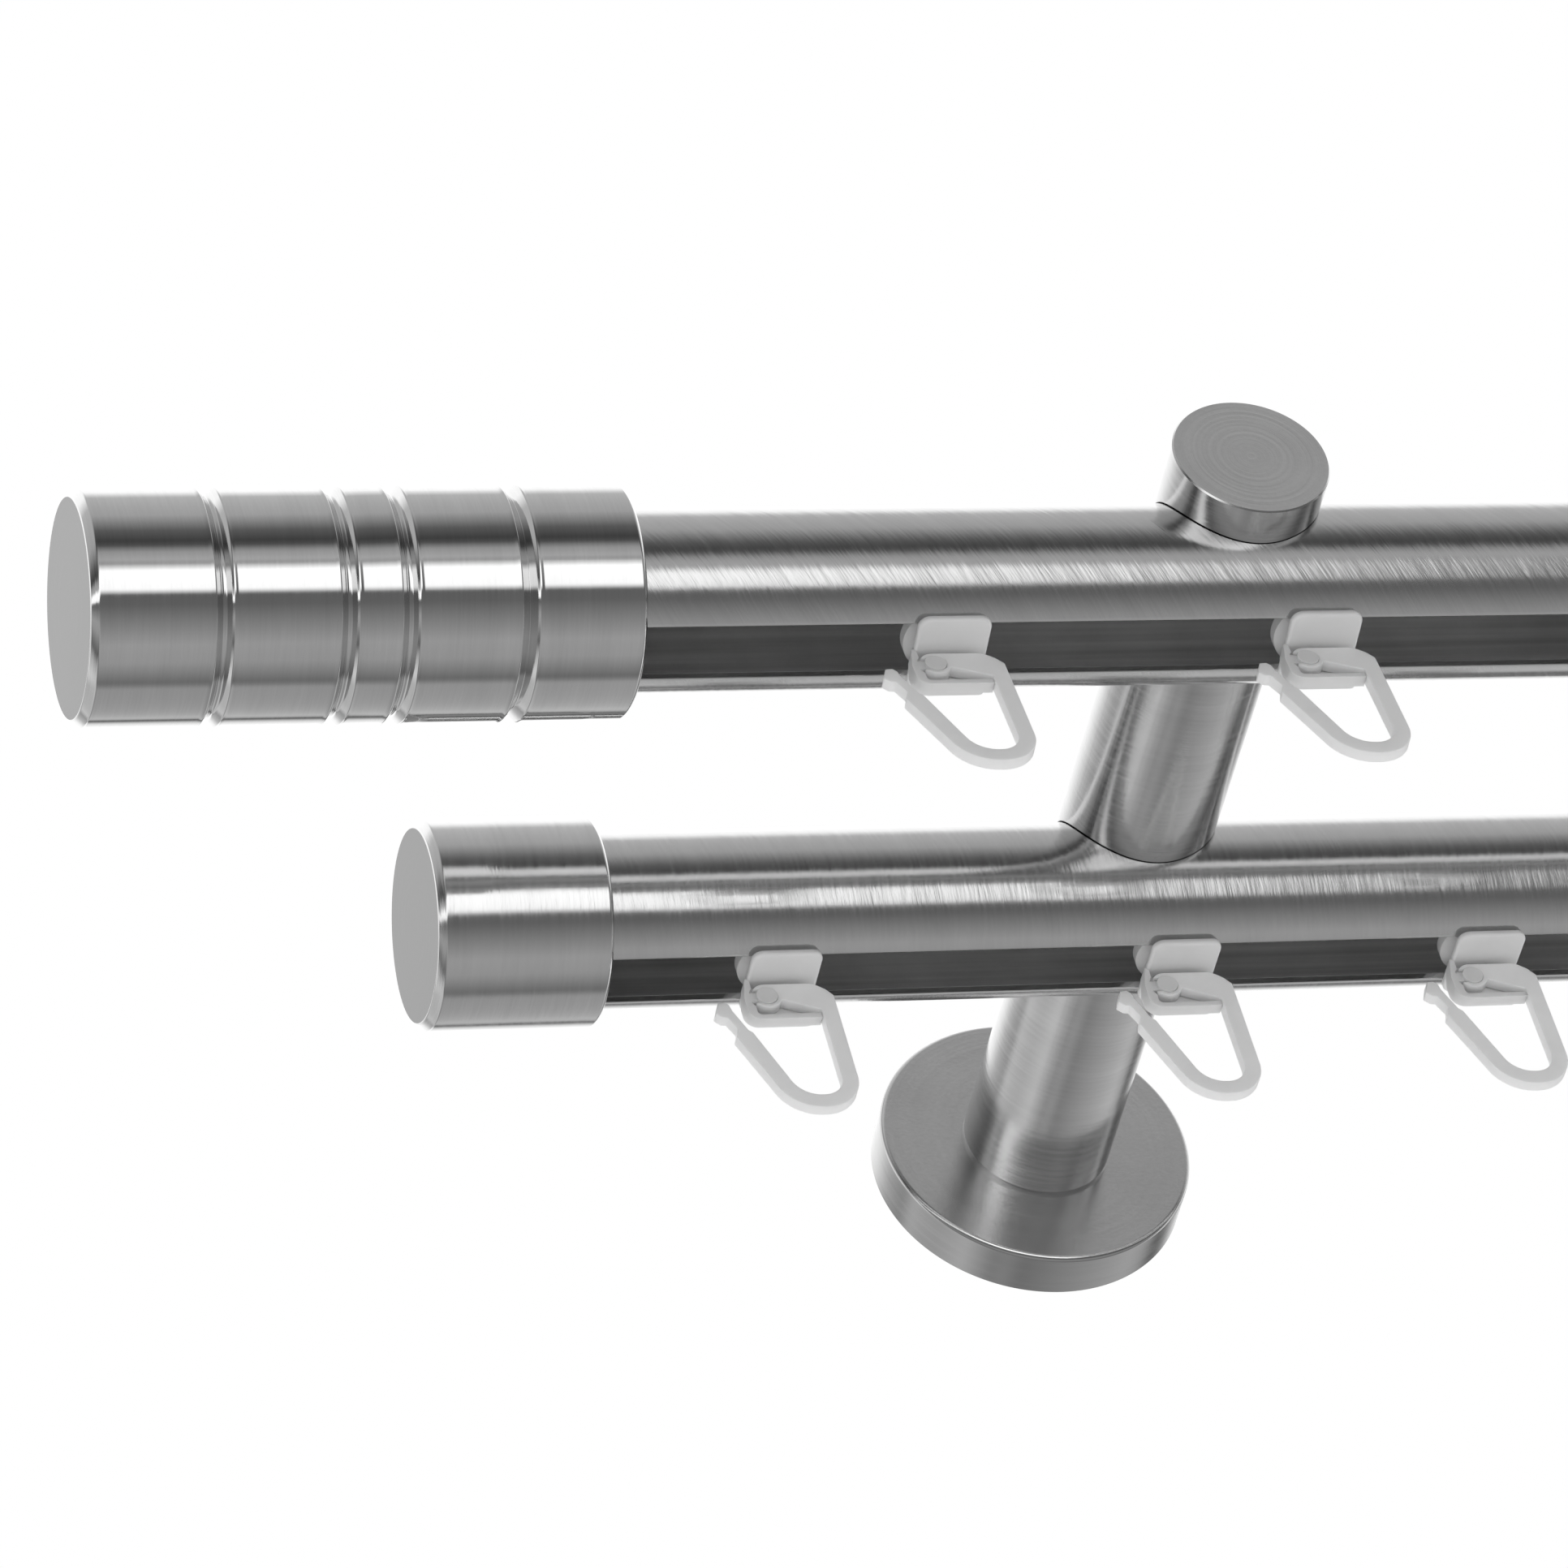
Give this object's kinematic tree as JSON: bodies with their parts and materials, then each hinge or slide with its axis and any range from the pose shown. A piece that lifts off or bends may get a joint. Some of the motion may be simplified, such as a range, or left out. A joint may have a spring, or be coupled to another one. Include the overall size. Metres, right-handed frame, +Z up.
{
  "type": "double curtain pole",
  "caption": "Double curtain pole: slotted inside-track tubes on wall bracket arms, grooved finials in front, plain caps behind, runners with hooks.",
  "frame": {"origin": "in the wall plane, halfway between the two brackets, at the height of the bracket arms' axis", "axes": "+X along the poles to the right as seen from the room, +Y into the wall, +Z up"},
  "size_m": [1.2716, 0.1305, 0.0554],
  "materials": {
    "pole_steel": "ground and brushed across, semi-bright",
    "bracket_steel": "turned, satin",
    "end_steel": "turned, semi-bright",
    "screw_steel": "zinc plated",
    "runner_plastic": "moulded, slightly translucent",
    "hook_plastic": "moulded, slightly translucent"
  },
  "bodies": {
    "curtain_pole": {"left_arm": "bracket_steel", "left_rosette": "bracket_steel", "left_wall_stud": "screw_steel", "right_arm": "bracket_steel", "right_rosette": "bracket_steel", "right_wall_stud": "screw_steel", "front_pole": "pole_steel", "rear_pole": "pole_steel", "left_finial": "end_steel", "left_end_cap": "end_steel", "right_finial": "end_steel", "right_end_cap": "end_steel", "seat_screws": "screw_steel", "end_screws": "screw_steel"},
    "front_runner_1": {"front_runner_1": "runner_plastic"},
    "front_hook_1": {"front_hook_1": "hook_plastic"},
    "front_runner_2": {"front_runner_2": "runner_plastic"},
    "front_hook_2": {"front_hook_2": "hook_plastic"},
    "front_runner_3": {"front_runner_3": "runner_plastic"},
    "front_hook_3": {"front_hook_3": "hook_plastic"},
    "front_runner_4": {"front_runner_4": "runner_plastic"},
    "front_hook_4": {"front_hook_4": "hook_plastic"},
    "front_runner_5": {"front_runner_5": "runner_plastic"},
    "front_hook_5": {"front_hook_5": "hook_plastic"},
    "front_runner_6": {"front_runner_6": "runner_plastic"},
    "front_hook_6": {"front_hook_6": "hook_plastic"},
    "front_runner_7": {"front_runner_7": "runner_plastic"},
    "front_hook_7": {"front_hook_7": "hook_plastic"},
    "front_runner_8": {"front_runner_8": "runner_plastic"},
    "front_hook_8": {"front_hook_8": "hook_plastic"},
    "rear_runner_1": {"rear_runner_1": "runner_plastic"},
    "rear_hook_1": {"rear_hook_1": "hook_plastic"},
    "rear_runner_2": {"rear_runner_2": "runner_plastic"},
    "rear_hook_2": {"rear_hook_2": "hook_plastic"},
    "rear_runner_3": {"rear_runner_3": "runner_plastic"},
    "rear_hook_3": {"rear_hook_3": "hook_plastic"},
    "rear_runner_4": {"rear_runner_4": "runner_plastic"},
    "rear_hook_4": {"rear_hook_4": "hook_plastic"},
    "rear_runner_5": {"rear_runner_5": "runner_plastic"},
    "rear_hook_5": {"rear_hook_5": "hook_plastic"},
    "rear_runner_6": {"rear_runner_6": "runner_plastic"},
    "rear_hook_6": {"rear_hook_6": "hook_plastic"},
    "rear_runner_7": {"rear_runner_7": "runner_plastic"},
    "rear_hook_7": {"rear_hook_7": "hook_plastic"},
    "rear_runner_8": {"rear_runner_8": "runner_plastic"},
    "rear_hook_8": {"rear_hook_8": "hook_plastic"}
  },
  "joints": [
    {"name": "front_runner_1_slide", "type": "slide", "parent": "curtain_pole", "child": "front_runner_1", "axis": [1, 0, 0], "range_m": [-0.0295, 0.0277]},
    {"name": "front_hook_1_swing", "type": "hinge", "parent": "front_runner_1", "child": "front_hook_1", "pos_m": [-0.5434, -0.10458, -0.01935], "axis": [0, -0.9925, 0.1219], "range_deg": [0, 6]},
    {"name": "front_runner_2_slide", "type": "slide", "parent": "curtain_pole", "child": "front_runner_2", "axis": [1, 0, 0], "range_m": [-0.0277, 0.0296]},
    {"name": "front_hook_2_swing", "type": "hinge", "parent": "front_runner_2", "child": "front_hook_2", "pos_m": [-0.5007, -0.10458, -0.01935], "axis": [0, -0.9925, 0.1219], "range_deg": [0, 6]},
    {"name": "front_runner_3_slide", "type": "slide", "parent": "curtain_pole", "child": "front_runner_3", "axis": [1, 0, 0], "range_m": [-0.0296, 0.028]},
    {"name": "front_hook_3_swing", "type": "hinge", "parent": "front_runner_3", "child": "front_hook_3", "pos_m": [-0.4561, -0.10458, -0.01935], "axis": [0, -0.9925, 0.1219], "range_deg": [0, 6]},
    {"name": "front_runner_4_slide", "type": "slide", "parent": "curtain_pole", "child": "front_runner_4", "axis": [1, 0, 0], "range_m": [-0.028, 0.807]},
    {"name": "front_hook_4_swing", "type": "hinge", "parent": "front_runner_4", "child": "front_hook_4", "pos_m": [-0.4131, -0.10458, -0.01935], "axis": [0, -0.9925, 0.1219], "range_deg": [0, 6]},
    {"name": "front_runner_5_slide", "type": "slide", "parent": "curtain_pole", "child": "front_runner_5", "axis": [1, 0, 0], "range_m": [-0.807, 0.028]},
    {"name": "front_hook_5_swing", "type": "hinge", "parent": "front_runner_5", "child": "front_hook_5", "pos_m": [0.4089, -0.10458, -0.01935], "axis": [0, -0.9925, 0.1219], "range_deg": [0, 6]},
    {"name": "front_runner_6_slide", "type": "slide", "parent": "curtain_pole", "child": "front_runner_6", "axis": [1, 0, 0], "range_m": [-0.028, 0.0296]},
    {"name": "front_hook_6_swing", "type": "hinge", "parent": "front_runner_6", "child": "front_hook_6", "pos_m": [0.4519, -0.10458, -0.01935], "axis": [0, -0.9925, 0.1219], "range_deg": [0, 6]},
    {"name": "front_runner_7_slide", "type": "slide", "parent": "curtain_pole", "child": "front_runner_7", "axis": [1, 0, 0], "range_m": [-0.0296, 0.0277]},
    {"name": "front_hook_7_swing", "type": "hinge", "parent": "front_runner_7", "child": "front_hook_7", "pos_m": [0.4965, -0.10458, -0.01935], "axis": [0, -0.9925, 0.1219], "range_deg": [0, 6]},
    {"name": "front_runner_8_slide", "type": "slide", "parent": "curtain_pole", "child": "front_runner_8", "axis": [1, 0, 0], "range_m": [-0.0277, 0.0285]},
    {"name": "front_hook_8_swing", "type": "hinge", "parent": "front_runner_8", "child": "front_hook_8", "pos_m": [0.5392, -0.10458, -0.01935], "axis": [0, -0.9925, 0.1219], "range_deg": [0, 6]},
    {"name": "rear_runner_1_slide", "type": "slide", "parent": "curtain_pole", "child": "rear_runner_1", "axis": [1, 0, 0], "range_m": [-0.0151, 0.0325]},
    {"name": "rear_hook_1_swing", "type": "hinge", "parent": "rear_runner_1", "child": "rear_hook_1", "pos_m": [-0.5523, -0.053, -0.01945], "axis": [0, -1, 0], "range_deg": [0, 6]},
    {"name": "rear_runner_2_slide", "type": "slide", "parent": "curtain_pole", "child": "rear_runner_2", "axis": [1, 0, 0], "range_m": [-0.0325, 0.0223]},
    {"name": "rear_hook_2_swing", "type": "hinge", "parent": "rear_runner_2", "child": "rear_hook_2", "pos_m": [-0.5048, -0.053, -0.01945], "axis": [0, -1, 0], "range_deg": [0, 6]},
    {"name": "rear_runner_3_slide", "type": "slide", "parent": "curtain_pole", "child": "rear_runner_3", "axis": [1, 0, 0], "range_m": [-0.0223, 0.0264]},
    {"name": "rear_hook_3_swing", "type": "hinge", "parent": "rear_runner_3", "child": "rear_hook_3", "pos_m": [-0.4675, -0.053, -0.01945], "axis": [0, -1, 0], "range_deg": [0, 6]},
    {"name": "rear_runner_4_slide", "type": "slide", "parent": "curtain_pole", "child": "rear_runner_4", "axis": [1, 0, 0], "range_m": [-0.0264, 0.833]},
    {"name": "rear_hook_4_swing", "type": "hinge", "parent": "rear_runner_4", "child": "rear_hook_4", "pos_m": [-0.4261, -0.053, -0.01945], "axis": [0, -1, 0], "range_deg": [0, 6]},
    {"name": "rear_runner_5_slide", "type": "slide", "parent": "curtain_pole", "child": "rear_runner_5", "axis": [1, 0, 0], "range_m": [-0.833, 0.0264]},
    {"name": "rear_hook_5_swing", "type": "hinge", "parent": "rear_runner_5", "child": "rear_hook_5", "pos_m": [0.4219, -0.053, -0.01945], "axis": [0, -1, 0], "range_deg": [0, 6]},
    {"name": "rear_runner_6_slide", "type": "slide", "parent": "curtain_pole", "child": "rear_runner_6", "axis": [1, 0, 0], "range_m": [-0.0264, 0.0223]},
    {"name": "rear_hook_6_swing", "type": "hinge", "parent": "rear_runner_6", "child": "rear_hook_6", "pos_m": [0.4633, -0.053, -0.01945], "axis": [0, -1, 0], "range_deg": [0, 6]},
    {"name": "rear_runner_7_slide", "type": "slide", "parent": "curtain_pole", "child": "rear_runner_7", "axis": [1, 0, 0], "range_m": [-0.0223, 0.0325]},
    {"name": "rear_hook_7_swing", "type": "hinge", "parent": "rear_runner_7", "child": "rear_hook_7", "pos_m": [0.5006, -0.053, -0.01945], "axis": [0, -1, 0], "range_deg": [0, 6]},
    {"name": "rear_runner_8_slide", "type": "slide", "parent": "curtain_pole", "child": "rear_runner_8", "axis": [1, 0, 0], "range_m": [-0.0325, 0.0141]},
    {"name": "rear_hook_8_swing", "type": "hinge", "parent": "rear_runner_8", "child": "rear_hook_8", "pos_m": [0.5481, -0.053, -0.01945], "axis": [0, -1, 0], "range_deg": [0, 6]}
  ]
}
